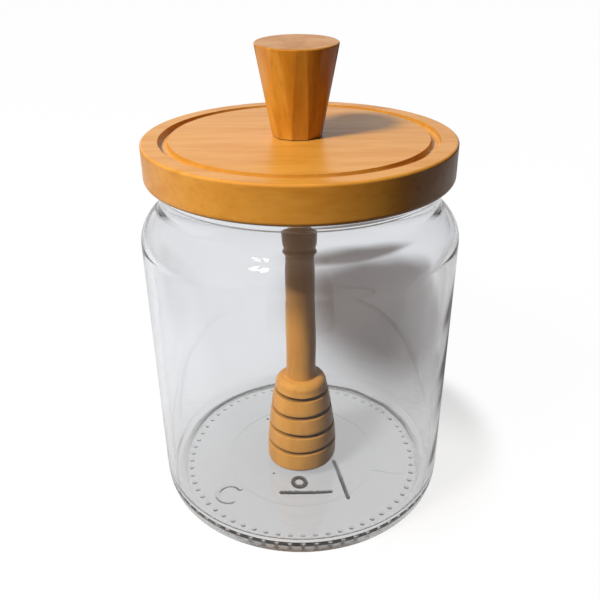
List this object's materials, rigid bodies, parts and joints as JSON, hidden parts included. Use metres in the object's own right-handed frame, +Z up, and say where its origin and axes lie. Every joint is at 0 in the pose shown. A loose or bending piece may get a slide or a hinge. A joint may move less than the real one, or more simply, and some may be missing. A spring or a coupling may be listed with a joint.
{
  "type": "honey jar with dipper",
  "caption": "Round clear glass jar with a wooden lid, a tapered knob on the lid and a slotted wooden honey dipper hanging inside.",
  "frame": {"origin": "centre of the jar's foot, on the surface that it stands on", "axes": "+Z up along the jar's axis, -Y towards the front"},
  "size_m": [0.1058, 0.1058, 0.1583],
  "materials": {
    "clear_glass": "clear gloss",
    "lid_wood": "satin varnish",
    "knob_wood": "satin varnish",
    "dipper_wood": "smooth, thin varnish"
  },
  "bodies": {
    "root": {"jar": "clear_glass", "lid": "lid_wood", "knob": "knob_wood", "dipper": "dipper_wood"}
  },
  "joints": []
}
